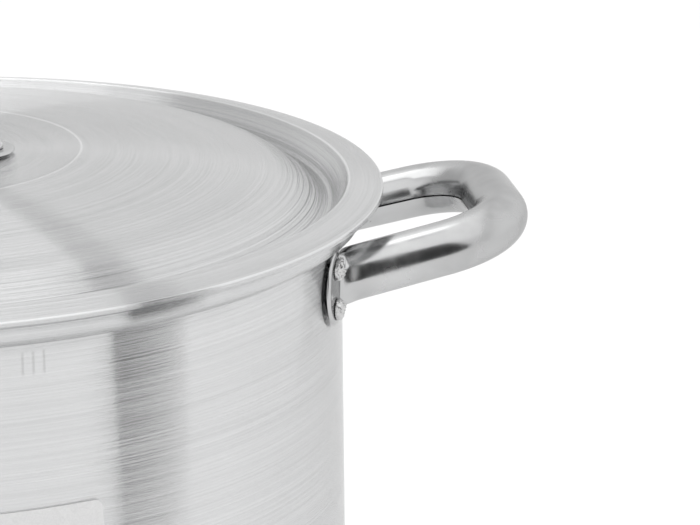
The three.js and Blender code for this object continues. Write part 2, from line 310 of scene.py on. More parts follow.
def spin_ripple(radius):
    """The faint rise and fall that spinning leaves in the lid's sheet."""
    fade = smooth(radius, DISC_RADIUS, DISC_RADIUS + 12 * MM)
    wave = math.sin(radius / (2.6 * MM)) + 0.7 * math.sin(radius / (1.7 * MM) + 1)
    return fade * wave * RIPPLE_HEIGHT


def dome_height(radius):
    """The dome's upper face: a shallow bowl upside down, level with the disc at its edge."""
    apex = DISC_TOP + DOME_FALL * DISC_RADIUS**2
    return apex - DOME_FALL * radius**2 + spin_ripple(radius)


def lid_upper_line():
    """The lid's upper face from its middle: disc, dome, channel, wall, crease and flange."""
    disc_steps = 24
    disc = [(DISC_RADIUS * i / disc_steps, DISC_TOP) for i in range(disc_steps - 1)]
    disc_end = (DISC_RADIUS, DISC_TOP)
    dome = []
    dome_steps = 56
    for i in range(2, dome_steps + 1):
        radius = lerp(DISC_RADIUS, DOME_RADIUS, i / dome_steps)
        dome.append((radius, dome_height(radius)))
    disc_fold = rounded(disc[-1], disc_end, dome[1], DISC_ROUNDING)
    wall = arc(BEAD_CENTRE, BEAD_RADIUS + LID_SHEET + GAP, *LID_WALL_ARC, 10)
    edge = (LID_RADIUS, LID_EDGE_Z)
    crease_round = rounded(wall[-1], CREASE, edge, CREASE_ROUNDING)
    flange = []
    flange_steps = 8
    for i in range(1, flange_steps):
        share = i / flange_steps
        bow = FLANGE_BOW * math.sin(math.pi * share)
        flange.append((lerp(CREASE[0], edge[0], share), lerp(CREASE[1], edge[1], share) + bow))
    channel = channel_line(dome[-1], wall[0])
    return [*disc, *disc_fold, *dome, *channel, *wall, *crease_round, *flange, edge]


def channel_line(shoulder, foot):
    """The lid's channel, from the shoulder of its dome down and up to its wall's foot."""
    after_shoulder = (shoulder[0] + 12 * MM, shoulder[1] - 1.9 * MM)
    before_foot = (foot[0] - 2.7 * MM, foot[1] - 4.6 * MM)
    steps = 24
    points = []
    for i in range(1, steps):
        points.append(tuple(bezier(shoulder, after_shoulder, before_foot, foot, i / steps)))
    return points


def lid_profile():
    """The lid's sheet, with its cut edge a little thicker and its corners eased."""
    upper = lid_upper_line()
    lower = offset_line(upper, LID_SHEET)
    lower[0] = (0.0, lower[0][1])
    bottom_corner = (LID_RADIUS, LID_EDGE_Z - LID_EDGE_HEIGHT)
    top = rounded(upper[-2], upper[-1], bottom_corner, EDGE_ROUNDING, 4)
    bottom = rounded(upper[-1], bottom_corner, lower[-2], EDGE_ROUNDING, 4)
    return [*upper[:-1], *top, *bottom, *reversed(lower[:-1])]


# ---------------------------------------------------------------- tube handles


class Station:
    """One cross-section of a bent tube: where it is, which way it faces and its shape.

    side points out of the bend and up across it. flat is 0 for the open tube and 1 for
    the pressed foot. tip is 0 along the foot and 1 at the end of its rounded tongue.
    """

    def __init__(self, centre, side, up, half_width, half_height, flat=0.0, tip=0.0):
        self.centre = Vector(centre)
        self.side = Vector(side).normalized()
        self.up = Vector(up).normalized()
        self.half_width = half_width
        self.half_height = half_height
        self.flat = flat
        self.tip = tip


def foot_shape(across, tip, outer):
    """A pressed foot's outline as shares of its half thickness and of its half width.

    Its outer face has a raised rim, and its back is smaller, so that the rim stands free.
    """
    if not outer:
        tip = min(tip / TUCKED_BACK, 1.0)
    up = across * math.sqrt(max(1 - tip**2, 0.0))
    inwards = min(math.hypot(tip, up), 1.0)
    out = math.sqrt(max(1 - (max(inwards - 0.9, 0) / 0.1) ** 2, 0.0))
    if outer:
        out *= 1 + ROLLED_EDGE * math.exp(-(((inwards - 0.88) / 0.06) ** 2))
    else:
        up *= TUCKED_BACK
    return out, up


def tube_section(station):
    """The points round one station, with a slot along the inner side of the open tube."""
    row = []
    for j in range(TUBE_STEPS):
        angle = 2 * math.pi * (j + 0.5) / TUBE_STEPS
        across = math.sin(angle)
        outer = math.cos(angle) > 0
        foot_out, foot_up = foot_shape(across, station.tip, outer)
        foot_out = math.copysign(foot_out, math.cos(angle))
        out = lerp(math.cos(angle), foot_out, station.flat) * station.half_width
        up = lerp(across, foot_up, station.flat) * station.half_height
        row.append(station.centre + station.side * out + station.up * up)
    add_seam(row, station)
    return row


def add_seam(row, station):
    """Draws the four points nearest the inner side together into a narrow slot."""
    middle = TUBE_STEPS // 2
    share = 1 - smooth(station.flat, 0.0, 0.5)
    inner = station.centre - station.side * station.half_width
    slot = ((-2, 0.0, 0.5), (-1, SEAM_DEPTH, 0.4), (0, SEAM_DEPTH, -0.4), (1, 0.0, -0.5))
    for offset, depth, up in slot:
        here = inner + station.side * depth + station.up * (up * SEAM_WIDTH)
        row[middle + offset] = row[middle + offset].lerp(here, share)


def tube_mesh(name, stations, seat):
    """A bent tube with closed feet, its skin kept outside what the feet sit on."""
    rows = []
    runs = []
    run = 0.0
    for i, station in enumerate(stations):
        if i:
            run += (station.centre - stations[i - 1].centre).length
        rows.append([seat(point) for point in tube_section(station)])
        runs.append(run)
    return grid_mesh(name, rows, runs=runs)


def mirrored(half, axis):
    """A half of a handle followed by the same half, mirrored across one axis."""
    other = []
    for station in reversed(half):
        centre = station.centre.copy()
        side = station.side.copy()
        centre[axis] = -centre[axis]
        side[axis] = -side[axis]
        sizes = (station.half_width, station.half_height, station.flat, station.tip)
        other.append(Station(centre, side, station.up, *sizes))
    return [*half, *other]


def foot_shares(steps):
    """Places along a foot from its tip, closer together where the tongue is rounded."""
    return [1 - math.cos(0.5 * math.pi * i / steps) for i in range(steps + 1)]


def loop_foot_plan():
    """The flat foot of a side handle seen from above, from its tip towards the leg."""
    foot_radius = WALL_OUTSIDE + GAP + FOOT_THICKNESS / 2
    start = (LEG_SPACING + FOOT_RUN) / foot_radius
    end = (LEG_SPACING + TUBE_RADIUS + FOLD_MARGIN) / foot_radius
    plan = []
    for share in foot_shares(20):
        angle = -lerp(start, end, share)
        from_tip = (start + angle) * foot_radius
        centre = Vector((math.cos(angle), math.sin(angle))) * foot_radius
        side = Vector((math.cos(angle), math.sin(angle)))
        tip = max(1 - from_tip / FOOT_TIP, 0.0)
        height = lerp(FOOT_WIDTH / 2, FOOT_NECK, smooth(share, 0.75, 1.0))
        plan.append((centre, side, FOOT_THICKNESS / 2, height, 1.0, tip))
    return plan


def loop_fold_plan(foot, wall_x):
    """Where the foot opens into the tube: its outer skin turns tightly, its inner widely."""
    centre, side, half, _, _, _ = foot
    along = Vector((-side.y, side.x))
    outer_start = centre + side * half
    inner_start = centre - side * half
    leg = Vector((math.cos(TOE_IN), math.sin(TOE_IN)))
    across = Vector((leg.y, -leg.x))
    end = Vector((wall_x + FOLD_LENGTH, -LEG_SPACING))
    outer_end = end + across * TUBE_RADIUS
    inner_end = end - across * TUBE_RADIUS
    on, back = FOLD_OUTER_RUNS
    outer = (outer_start, outer_start + along * on, outer_end - leg * back, outer_end)
    on, back = FOLD_INNER_RUNS
    inner = (inner_start, inner_start + along * on, inner_end - leg * back, inner_end)
    plan = []
    steps = 18
    for i in range(1, steps):
        share = i / steps
        skin_out = bezier(*outer, share)
        skin_in = bezier(*inner, share)
        middle = (skin_out + skin_in) / 2
        half = (skin_out - skin_in).length / 2
        height = lerp(FOOT_NECK, TUBE_RADIUS, smooth(share, 0.0, 0.75))
        flat = 1 - smooth(share, 0.0, 0.7)
        plan.append((middle, skin_out - skin_in, half, height, flat, 0.0))
    return plan


def loop_plan(box_high):
    """Half of a side handle seen from above: its foot, its fold, its leg and its corner."""
    wall_x = math.sqrt(WALL_OUTSIDE**2 - LEG_SPACING**2)
    plan = loop_foot_plan()
    plan += loop_fold_plan(plan[-1], wall_x)
    top = Vector((wall_x + FOLD_LENGTH, -LEG_SPACING))
    tilted_reach = box_high.x - TUBE_RADIUS - wall_x
    reach = wall_x + tilted_reach / math.cos(LOOP_TILT)
    leg = reach - top.x - LOOP_CORNER * (1 - math.sin(TOE_IN))
    leg_steps = 14
    corner_steps = 26
    for i in range(leg_steps + 1):
        run = leg * i / leg_steps
        centre = top + Vector((run, run * math.tan(TOE_IN)))
        side = Vector((math.sin(TOE_IN), -math.cos(TOE_IN)))
        plan.append((centre, side, TUBE_RADIUS, TUBE_RADIUS, 0.0, 0.0))
    corner = plan[-1][0]
    for i in range(1, corner_steps + 1):
        heading = lerp(TOE_IN, math.pi / 2, i / corner_steps)
        x = corner.x + LOOP_CORNER * (math.sin(heading) - math.sin(TOE_IN))
        y = corner.y + LOOP_CORNER * (math.cos(TOE_IN) - math.cos(heading))
        side = Vector((math.sin(heading), -math.cos(heading)))
        plan.append((Vector((x, y)), side, TUBE_RADIUS, TUBE_RADIUS, 0.0, 0.0))
    grip_steps = 4
    last = plan[-1][0]
    for i in range(1, grip_steps):
        centre = Vector((last.x, last.y * (1 - i / grip_steps)))
        plan.append((centre, Vector((1, 0)), TUBE_RADIUS, TUBE_RADIUS, 0.0, 0.0))
    return plan


def loop_stations(box_high, foot_z):
    """A side handle's stations, tilted up from the line where its legs meet the wall."""
    wall_x = math.sqrt(WALL_OUTSIDE**2 - LEG_SPACING**2)
    half = []
    for place, side, half_width, half_height, flat, tip in loop_plan(box_high):
        side = side.normalized()
        lean = LOOP_TILT * (1 - flat)
        out = max(place.x - wall_x, 0) * (1 - flat)
        x = place.x - out * (1 - math.cos(LOOP_TILT))
        narrowed = max(FOOT_WIDTH / 2 - half_height, 0.0) / (FOOT_WIDTH / 2 - FOOT_NECK)
        rise = NECK_RISE * min(narrowed, 1.0) * flat
        centre = (x, place.y, foot_z + rise + out * math.sin(LOOP_TILT))
        tilted = (side.x * math.cos(lean), side.y, side.x * math.sin(lean))
        up = (-math.sin(lean), 0, math.cos(lean))
        half.append(Station(centre, tilted, up, half_width, half_height, flat, tip))
    return mirrored(half, 1)


def seat_on_wall(point):
    """No point of a foot goes nearer the axis than the wall."""
    distance = math.hypot(point.x, point.y)
    nearest = WALL_OUTSIDE + GAP
    if distance < nearest:
        return Vector((point.x * nearest / distance, point.y * nearest / distance, point.z))
    return point


def seat_on_disc(point):
    """No point of the lid handle's feet goes below the disc's top."""
    return Vector((point.x, point.y, max(point.z, DISC_TOP + GAP)))


def side_handle(name, turn):
    """A riveted loop handle, made on the +X side and then turned to its own side."""
    low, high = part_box("right_handle")
    foot_z = low.z + FOOT_WIDTH / 2
    stations = loop_stations(high, foot_z)
    handle = tube_mesh(name, stations, seat_on_wall)
    handle.data.transform(Matrix.Rotation(turn, 4, "Z"))
    return handle


def bow_stations(height):
    """The lid handle's stations in its upright plane, for X below 0 and then mirrored."""
    foot_z = DISC_TOP + GAP + FOOT_THICKNESS / 2
    fold_start = -BOW_LEG - BOW_FOLD_RUN
    half = []

    def add(x, z, heading, flat, tip=0.0):
        side = (-math.sin(heading), 0, math.cos(heading))
        half_width = lerp(BOW_HALF_THICKNESS, FOOT_THICKNESS / 2, flat)
        half_height = lerp(BOW_HALF_WIDTH, FOOT_WIDTH / 2, flat)
        half.append(Station((x, 0, z), side, (0, 1, 0), half_width, half_height, flat, tip))

    for share in foot_shares(16):
        x = lerp(-BOW_HALF_LENGTH, fold_start, share)
        add(x, foot_z, 0, 1.0, max(1 - (x + BOW_HALF_LENGTH) / FOOT_TIP, 0.0))
    fold_steps = 12
    for i in range(1, fold_steps):
        share = i / fold_steps
        turn = share * math.pi / 2
        x = fold_start + BOW_FOLD_RUN * math.sin(turn)
        add(x, foot_z + BOW_FOLD_HEIGHT * (1 - math.cos(turn)), turn, 1 - smooth(share, 0.1, 1))
    add(-BOW_LEG, foot_z + BOW_FOLD_HEIGHT, math.pi / 2, 0.0)
    corner_steps = 18
    for i in range(corner_steps + 1):
        turn = lerp(math.pi / 2, 0, i / corner_steps)
        x = -BOW_LEG + BOW_CORNER * (1 - math.sin(turn))
        add(x, height - BOW_CORNER * (1 - math.cos(turn)), turn, 0.0)
    grip_steps = 4
    start = half[-1].centre.x
    for i in range(1, grip_steps):
        add(start * (1 - i / grip_steps), height, 0, 0.0)
    return mirrored(half, 0)


def lid_handle_turn():
    """How far the lid's handle is turned from X, from the places of its two rivets."""
    low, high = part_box("lid_handle_rivet_right")
    middle = (low + high) / 2
    return math.atan2(middle.y, middle.x)


def lid_bow(name):
    """The lid's handle, made along X and then turned to the line of its rivets."""
    _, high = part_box("lid_handle")
    handle = tube_mesh(name, bow_stations(high.z - BOW_HALF_THICKNESS), seat_on_disc)
    handle.data.transform(Matrix.Rotation(lid_handle_turn(), 4, "Z"))
    return handle


# ---------------------------------------------------------------- rivets and label


def rivet_mesh(name, grip, seed):
    """A rivet on Z with a head hammered into rough facets, its top side at Z = 0 and up."""
    tail_end = -grip - RIVET_TAIL_HEIGHT
    tail_corner = (RIVET_TAIL, -grip - RIVET_TAIL_EASE)
    profile = [(0.0, tail_end), (RIVET_TAIL - RIVET_TAIL_EASE, tail_end)]
    profile += rounded(profile[-1], tail_corner, (RIVET_TAIL, -grip), 0.4 * MM)
    profile += [(RIVET_TAIL, -grip), (RIVET_SHANK, -grip), (RIVET_SHANK, 0.0), (RIVET_HEAD, 0.0)]
    head_steps = 22
    for i in range(1, head_steps + 1):
        angle = 0.5 * math.pi * i / head_steps
        bulge = math.sin(angle) ** 0.8
        profile.append((RIVET_HEAD * math.cos(angle), RIVET_HEIGHT * bulge))
    rows = []
    for radius, height in profile:
        rows.append([hammered(point, seed) for point in ring(radius, height, 40)])
    rivet = grid_mesh(name, rows)
    rivet.data.set_sharp_from_angle(angle=FACET_ANGLE)
    return rivet


def hammered(point, seed):
    """Raises or sinks a point of a rivet's head, as rough blows would."""
    if point.z <= 0.2 * MM:
        return point
    place = point / HAMMER_SPACING + Vector((seed * 7.3, seed * 3.1, seed * 1.7))
    rough = noise.noise(place) + 0.6 * noise.noise(place * 2.3)
    strength = smooth(point.z, 0.2 * MM, 1.4 * MM)
    return point + Vector((0, 0, rough * strength * HAMMER_DEPTH))


def side_rivet(name, node, seed):
    """A rivet through the wall, lying along the line from the pot's axis through its node."""
    low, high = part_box(node)
    middle = (low + high) / 2
    turn = math.atan2(middle.y, middle.x)
    head_radius = WALL_OUTSIDE + FOOT_THICKNESS + 2 * GAP
    grip = FOOT_THICKNESS + POT_WALL + 4 * GAP
    rivet = rivet_mesh(name, grip, seed)
    place = (
        Matrix.Rotation(turn, 4, "Z")
        @ Matrix.Translation((head_radius, 0, middle.z))
        @ Matrix.Rotation(math.pi / 2, 4, "Y")
    )
    rivet.data.transform(place)
    return rivet


def bow_rivet(name, node, seed):
    """A rivet straight down through a foot of the lid's handle and the disc."""
    low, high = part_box(node)
    middle = (low + high) / 2
    grip = FOOT_THICKNESS + LID_SHEET + 3 * GAP
    rivet = rivet_mesh(name, grip, seed)
    head_z = DISC_TOP + FOOT_THICKNESS + 2 * GAP
    rivet.data.transform(Matrix.Translation((middle.x, middle.y, head_z)))
    return rivet


def label_mesh(name):
    """A blank film sticker with rounded corners, bent round the wall."""
    low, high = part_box("body_label")
    inner = WALL_OUTSIDE + GAP
    half_height = (high.z - low.z) / 2
    middle_z = (low.z + high.z) / 2
    columns = 48
    steps = 40
    loops = []
    for i in range(steps + 1):
        up = -math.cos(math.pi * i / steps) * half_height
        inset = max(abs(up) - (half_height - LABEL_CORNER), 0.0)
        rounding = math.sqrt(max(LABEL_CORNER**2 - inset**2, 0.0))
        half_width = LABEL_WIDTH / 2 - LABEL_CORNER + rounding
        back = []
        face = []
        for j in range(columns):
            across = -math.cos(math.pi * j / (columns - 1)) * half_width
            turn = LABEL_BEARING + across / inner
            towards = Vector((math.cos(turn), math.sin(turn), 0))
            lift = Vector((0, 0, middle_z + up))
            back.append(towards * inner + lift)
            face.append(towards * (inner + LABEL_THICKNESS) + lift)
        loops.append(back + face[::-1])
    label = grid_mesh(name, loops)
    close_ends(label)
    return label


def close_ends(piece):
    """Fills the open ends of a piece whose first and last rows have width."""
    filled = bmesh.new()
    filled.from_mesh(piece.data)
    edges = [edge for edge in filled.edges if edge.is_boundary]
    bmesh.ops.holes_fill(filled, edges=edges)
    bmesh.ops.recalc_face_normals(filled, faces=filled.faces)
    filled.to_mesh(piece.data)
    filled.free()


# ---------------------------------------------------------------- materials


class Shader:
    """A material or world being wired: each call adds one node and gives back its output."""

    def __init__(self, owner):
        owner.use_nodes = True
        self.tree = owner.node_tree
        self.tree.nodes.clear()

    def add(self, kind, inputs, output=0, **settings):
        """Adds a node, links or sets its inputs, and gives back one output, or none."""
        node = self.tree.nodes.new(kind)
        for name, value in settings.items():
            setattr(node, name, value)
        for name, value in inputs.items():
            if isinstance(value, bpy.types.NodeSocket):
                self.tree.links.new(value, node.inputs[name])
            else:
                node.inputs[name].default_value = value
        return None if output is None else node.outputs[output]

    def math(self, operation, a, b=0.0):
        return self.add("ShaderNodeMath", {0: a, 1: b}, operation=operation)

    def fade(self, value, low, high, at_low=0.0, at_high=1.0):
        """Eases from one number to another as a value goes from low to high."""
        inputs = {"Value": value, "From Min": low, "From Max": high}
        inputs.update({"To Min": at_low, "To Max": at_high})
        return self.add("ShaderNodeMapRange", inputs, interpolation_type="SMOOTHSTEP")

    def noise(self, vector, scale, detail=3.0, roughness=0.6):
        inputs = {"Vector": vector, "Scale": scale, "Detail": detail, "Roughness": roughness}
        return self.add("ShaderNodeTexNoise", inputs)

    def split(self, vector):
        node = self.tree.nodes.new("ShaderNodeSeparateXYZ")
        self.tree.links.new(vector, node.inputs[0])
        return node.outputs

    def join(self, x, y, z):
        return self.add("ShaderNodeCombineXYZ", {0: x, 1: y, 2: z})

    def grey(self, value, tint=(1.0, 1.0, 1.0)):
        """A colour of a given brightness, very slightly tinted."""
        red = self.math("MULTIPLY", value, tint[0])
        green = self.math("MULTIPLY", value, tint[1])
        blue = self.math("MULTIPLY", value, tint[2])
        return self.add("ShaderNodeCombineColor", {0: red, 1: green, 2: blue})

    def bump(self, height, distance):
        inputs = {"Height": height, "Distance": distance, "Strength": 1.0}
        return self.add("ShaderNodeBump", inputs)

    def place(self):
        return self.add("ShaderNodeTexCoord", {}, output="Object")

    def vector(self, operation, **inputs):
        """Vector arithmetic, its inputs named a, b and scale."""
        places = {"a": 0, "b": 1, "scale": 3}
        wired = {places[name]: value for name, value in inputs.items()}
        return self.add("ShaderNodeVectorMath", wired, operation=operation)

    def grooved_normal(self, slope):
        """The surface's normal rocked across the lathe rings by a slope."""
        normal = self.add("ShaderNodeNewGeometry", {}, output="Normal")
        x, y, _ = self.split(self.place())
        ring = self.vector("NORMALIZE", a=self.join(self.math("MULTIPLY", y, -1.0), x, 0.0))
        across = self.vector("CROSS_PRODUCT", a=normal, b=ring)
        rocked = self.vector("ADD", a=normal, b=self.vector("SCALE", a=across, scale=slope))
        return self.vector("NORMALIZE", a=rocked)

    def surface(self, **inputs):
        """Ends a material with a principled surface. Underscores stand for spaces."""
        named = {name.replace("_", " "): value for name, value in inputs.items()}
        shader = self.add("ShaderNodeBsdfPrincipled", named)
        self.add("ShaderNodeOutputMaterial", {"Surface": shader}, output=None)

    def length(self, x, y):
        """The length of a vector from its two parts."""
        squares = self.math("ADD", self.math("POWER", x, 2), self.math("POWER", y, 2))
        return self.math("SQRT", squares)

    def radius(self):
        """How far the surface is from the pot's axis."""
        x, y, _ = self.split(self.place())
        return self.math("MAXIMUM", self.length(x, y), 0.5 * MM)

    def spun_place(self, turns, spacing):
        """Coordinates that follow rings round the axis: slow along a ring, fast across."""
        x, y, z = self.split(self.place())
        radius = self.radius()
        around_x = self.math("MULTIPLY", self.math("DIVIDE", x, radius), turns)
        around_y = self.math("MULTIPLY", self.math("DIVIDE", y, radius), turns)
        across = self.math("DIVIDE", self.math("ADD", radius, z), spacing)
        return self.join(around_x, around_y, across)


def new_material(name):
    """An empty material and the shader that wires it."""
    material = bpy.data.materials.new(name)
    return material, Shader(material)


def painted_fold_highlight(s, tone, radius, height, gain):
    """Brightens a tone along a sharp turn of the sheet, at a radius and a height: a painted
    highlight.
    """
    _, _, z = s.split(s.place())
    out = s.math("SUBTRACT", s.radius(), radius)
    up = s.math("SUBTRACT", z, height)
    return s.math("ADD", tone, s.fade(s.length(out, up), 0.2 * MM, 1.1 * MM, gain, 0.0))


def scuffed(s, tone, bearing):
    """Darkens a tone along a short upright scratch on the front of the wall."""
    top = POT_TOP - SCUFF_TOP_BELOW_RIM
    bottom = top - SCUFF_LENGTH
    x, y, z = s.split(s.place())
    across = s.math("MULTIPLY", x, math.sin(bearing))
    across = s.math("SUBTRACT", across, s.math("MULTIPLY", y, math.cos(bearing)))
    line = s.fade(s.math("ABSOLUTE", across), 0.2 * MM, 0.9 * MM, SCUFF_DEPTH, 0.0)
    line = s.math("MULTIPLY", line, s.fade(y, -10 * MM, 10 * MM, 1.0, 0.0))
    line = s.math("MULTIPLY", line, s.fade(z, bottom - 3 * MM, bottom))
    line = s.math("MULTIPLY", line, s.fade(z, top, top + 2 * MM, 1.0, 0.0))
    return s.math("SUBTRACT", tone, line)


def spun_aluminium(name, base, turns, spacing, spread, contrast, folds=(), scuffs=()):
    """Satin aluminium: fine grooves round the axis smear what it mirrors across them.

    turns is how quickly the brushing changes along a ring, spacing how wide its visible
    rings are, spread how far the grooves rock the surface, and contrast how much the rings
    differ in tone. folds has the radius and height of each sharp turn, and how bright a
    painted highlight along it is. scuffs has the bearings of short upright scratches below the
    rim.
    """
    material, s = new_material(name)
    grooves = s.noise(s.spun_place(turns, GROOVE_SPACING), 1.0, 0.0)
    rings = s.noise(s.spun_place(turns, spacing), 1.0, 1.0)
    streaks = s.noise(s.spun_place(turns * 2, spacing * 0.45), 1.0, 0.0)
    broad = s.noise(s.spun_place(turns * 0.5, spacing * 9), 1.0, 1.0)
    cloud = s.noise(s.place(), 9.0, 3.0)
    tone = s.math("ADD", base, s.fade(streaks, 0.3, 0.7, -contrast, contrast))
    tone = s.math("ADD", tone, s.fade(rings, 0.3, 0.7, -contrast, contrast))
    tone = s.math("ADD", tone, s.fade(broad, 0.3, 0.7, -0.5 * contrast, 0.5 * contrast))
    tone = s.math("ADD", tone, s.fade(cloud, 0.3, 0.7, -0.015, 0.015))
    # Painted highlights: the tone is brightened along each sharp turn of the sheet.
    for radius, height, gain in folds:
        tone = painted_fold_highlight(s, tone, radius, height, gain)
    for bearing in scuffs:
        tone = scuffed(s, tone, bearing)
    slope = s.math("MULTIPLY", s.math("SUBTRACT", grooves, 0.5), spread)
    wave = s.math("MULTIPLY", s.math("SUBTRACT", rings, 0.5), spread * 0.008)
    tangent = s.add("ShaderNodeTangent", {}, direction_type="RADIAL", axis="Z")
    s.surface(
        Base_Color=s.grey(tone, (0.995, 1.0, 1.006)),
        Metallic=1.0,
        Roughness=s.fade(rings, 0.25, 0.75, 0.15, 0.21),
        Specular_Tint=(0.8, 0.8, 0.8, 1.0),
        Anisotropic=0.95,
        Anisotropic_Rotation=0.25,
        Tangent=tangent,
        Normal=s.grooved_normal(s.math("ADD", slope, wave)),
    )
    return material


def polished_tube(name, base):
    """Buffed tube: lengthwise lines, satin haze, small pits, and duller towards the grip."""
    material, s = new_material(name)
    along = s.add("ShaderNodeAttribute", {}, output="Fac", attribute_name="along")
    x, y, z = s.split(s.place())
    drawn_out = s.join(s.math("MULTIPLY", along, 40.0), y, s.math("MULTIPLY", z, 900.0))
    lines = s.noise(drawn_out, 1.0, 3.0)
    haze = s.noise(s.place(), 34.0, 3.0)
    from_middle = s.math("ABSOLUTE", x)
    worn = s.fade(from_middle, cad_high.x - WORN_START, cad_high.x - WORN_END, 0.0, 0.09)
    pits = s.fade(s.noise(s.place(), 260.0, 1.0), 0.15, 0.19, 1.0, 0.0)
    tone = s.math("ADD", s.fade(haze, 0.35, 0.65, -0.04, 0.04), base)
    tone = s.math("SUBTRACT", tone, s.math("MULTIPLY", pits, 0.35))
    tone = s.math("SUBTRACT", tone, worn)
    s.surface(
        Base_Color=s.grey(tone, (0.995, 1.0, 1.004)),
        Metallic=1.0,
        Specular_Tint=(0.75, 0.75, 0.75, 1.0),
        Roughness=s.fade(haze, 0.35, 0.65, 0.14, 0.3),
        Normal=s.bump(lines, 0.005 * MM),
    )
    return material


def hammered_metal(name, base):
    """Bright soft metal with small hammer scars that turn dull in their hollows."""
    material, s = new_material(name)
    scars = s.noise(s.place(), 420.0, 3.0, 0.65)
    grime = s.fade(s.noise(s.place(), 300.0, 2.0), 0.28, 0.42, 1.0, 0.0)
    tone = s.math("SUBTRACT", base, s.math("MULTIPLY", grime, 0.3))
    s.surface(
        Base_Color=s.grey(tone),
        Metallic=1.0,
        Roughness=s.fade(scars, 0.3, 0.7, 0.12, 0.32),
        Normal=s.bump(scars, 0.25 * MM),
    )
    return material


def film(name):
    """Thin clear-white sticker film with faint wrinkles."""
    material, s = new_material(name)
    ripple = s.noise(s.place(), 60.0, 2.0)
    speck = s.noise(s.place(), 1400.0, 1.0)
    s.surface(
        Base_Color=s.grey(s.fade(speck, 0.3, 0.7, 0.78, 0.84)),
        Roughness=s.fade(ripple, 0.3, 0.7, 0.22, 0.36),
        Alpha=0.75,
        Normal=s.bump(ripple, 0.1 * MM),
    )
    return material


def floor_paper(name):
    """Matt white studio paper."""
    material, s = new_material(name)
    fibre = s.noise(s.place(), 320.0, 3.0)
    s.surface(
        Base_Color=s.grey(s.fade(fibre, 0.3, 0.7, 0.93, 0.95)),
        Roughness=0.9,
        Normal=s.bump(fibre, 0.05 * MM),
    )
    return material


# ---------------------------------------------------------------- pieces


def wear(piece, material, body, nodes):
    """Gives a piece its material, its body and the CAD nodes it stands for."""
    piece.data.materials.clear()
    piece.data.materials.append(material)
    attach(piece, body)
    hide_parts(*nodes)


def body_metal():
    """The body's brushed wall, with its three scuffs."""
    return spun_aluminium(
        "body_aluminium",
        base=0.68,
        turns=0.9,
        spacing=1.1 * MM,
        spread=2.6,
        contrast=0.018,
        scuffs=SCUFF_BEARINGS,
    )


def lid_metal():
    """The lid's brushed face, with a painted highlight along its two folds and its edge."""
    return spun_aluminium(
        "lid_aluminium",
        base=0.65,
        turns=0.5,
        spacing=1.1 * MM,
        spread=3.2,
        contrast=0.015,
        # How bright the painted highlights are at the disc's edge, the crease and the lid's
        # edge.
        folds=((DISC_RADIUS, DISC_TOP, 0.15), (*CREASE, 0.16), (LID_RADIUS, LID_EDGE_Z, 0.14)),
    )


def build_pieces():
    """Every piece; each rivet's head is beaten by its own seed."""
    body_material = body_metal()
    lid_material = lid_metal()
    tube_metal = polished_tube("handle_metal", 0.56)
    rivet_metal = hammered_metal("rivet_metal", 0.6)
    body = turned("body_shell", pot_profile())
    wear(body, body_material, "pot", ["pot_body"])
    lid = turned("lid_shell", lid_profile())
    wear(lid, lid_material, "lid", ["lid"])
    label = label_mesh("blank_label")
    wear(label, film("label_film"), "pot", ["body_label"])
    seed = 1
    for side, turn in (("right", 0.0), ("left", math.pi)):
        handle = side_handle(f"{side}_loop", turn)
        wear(handle, tube_metal, "pot", [f"{side}_handle"])
        for end in ("front", "rear"):
            for level in ("upper", "lower"):
                node = f"{side}_handle_rivet_{end}_{level}"
                rivet = side_rivet(f"{side}_{end}_{level}_rivet", node, seed)
                wear(rivet, rivet_metal, "pot", [node])
                seed += 1
    bow = lid_bow("lid_grip")
    wear(bow, tube_metal, "lid", ["lid_handle"])
    for side in ("left", "right"):
        node = f"lid_handle_rivet_{side}"
        rivet = bow_rivet(f"lid_grip_{side}_rivet", node, seed)
        wear(rivet, rivet_metal, "lid", [node])
        seed += 1


# ---------------------------------------------------------------- studio


FLOOR_DROP = 0.2 * MM
FLOOR_FIRST_RING = 20 * MM
FLOOR_RING_GROWTH = 1.25

# Which way the front lamps lean, as a share of a level direction.
LAMP_LEAN = Vector((0.078, 0.958))

# Parts of the surrounding light: a bearing, a half width and a softness, in degrees.
BACK_GLOW = (20, 55, 20)
LEFT_SHADE = (172, 42, 25)
FRONT_BOX = (-95, 28.8, 0.3)
SIDE_GAP = (-63.5, 3, 4)
BACK_GLOW_LEVEL = 1.1
LEFT_SHADE_DEPTH = 0.35
FRONT_BOX_LEVELS = (0.04, 0.27)
SIDE_GAP_DEPTH = 0.32
PAPER_WHITE = 0.98

# The card's two ends: X from the handle's end, Y, and its edges' heights from the grip.
CARD_LEFT = (-75 * MM, -275 * MM, -85 * MM, 260 * MM)
CARD_RIGHT = (110 * MM, -250 * MM, -10 * MM, 30 * MM)
CARD_LEAN = -30 * MM


def build_floor():
    """A very wide round sheet of paper, its rings closer together under the pot."""
    rows = []
    for i in range(40):
        radius = FLOOR_FIRST_RING * FLOOR_RING_GROWTH**i if i else 0.0
        rows.append(ring(radius, pot_low.z - FLOOR_DROP, 96))
    floor = grid_mesh("studio_floor", rows)
    floor.data.materials.append(floor_paper("studio_paper"))


def sector(s, x, y, bearing, half_width, softness):
    """1 where the level direction x, y is within half_width of a bearing, and 0 outside."""
    angle = math.radians(bearing)
    along = s.math("MULTIPLY", x, math.cos(angle))
    along = s.math("ADD", along, s.math("MULTIPLY", y, math.sin(angle)))
    outside = math.cos(math.radians(half_width + softness))
    inside = math.cos(math.radians(max(half_width - softness, 0)))
    length = s.math("MAXIMUM", s.length(x, y), 0.001)
    return s.fade(s.math("DIVIDE", along, length), outside, inside)


def dimmed(s, light, mask, share):
    """Takes a share of the light away where the mask is 1."""
    return s.math("MULTIPLY", light, s.math("SUBTRACT", 1.0, s.math("MULTIPLY", mask, share)))


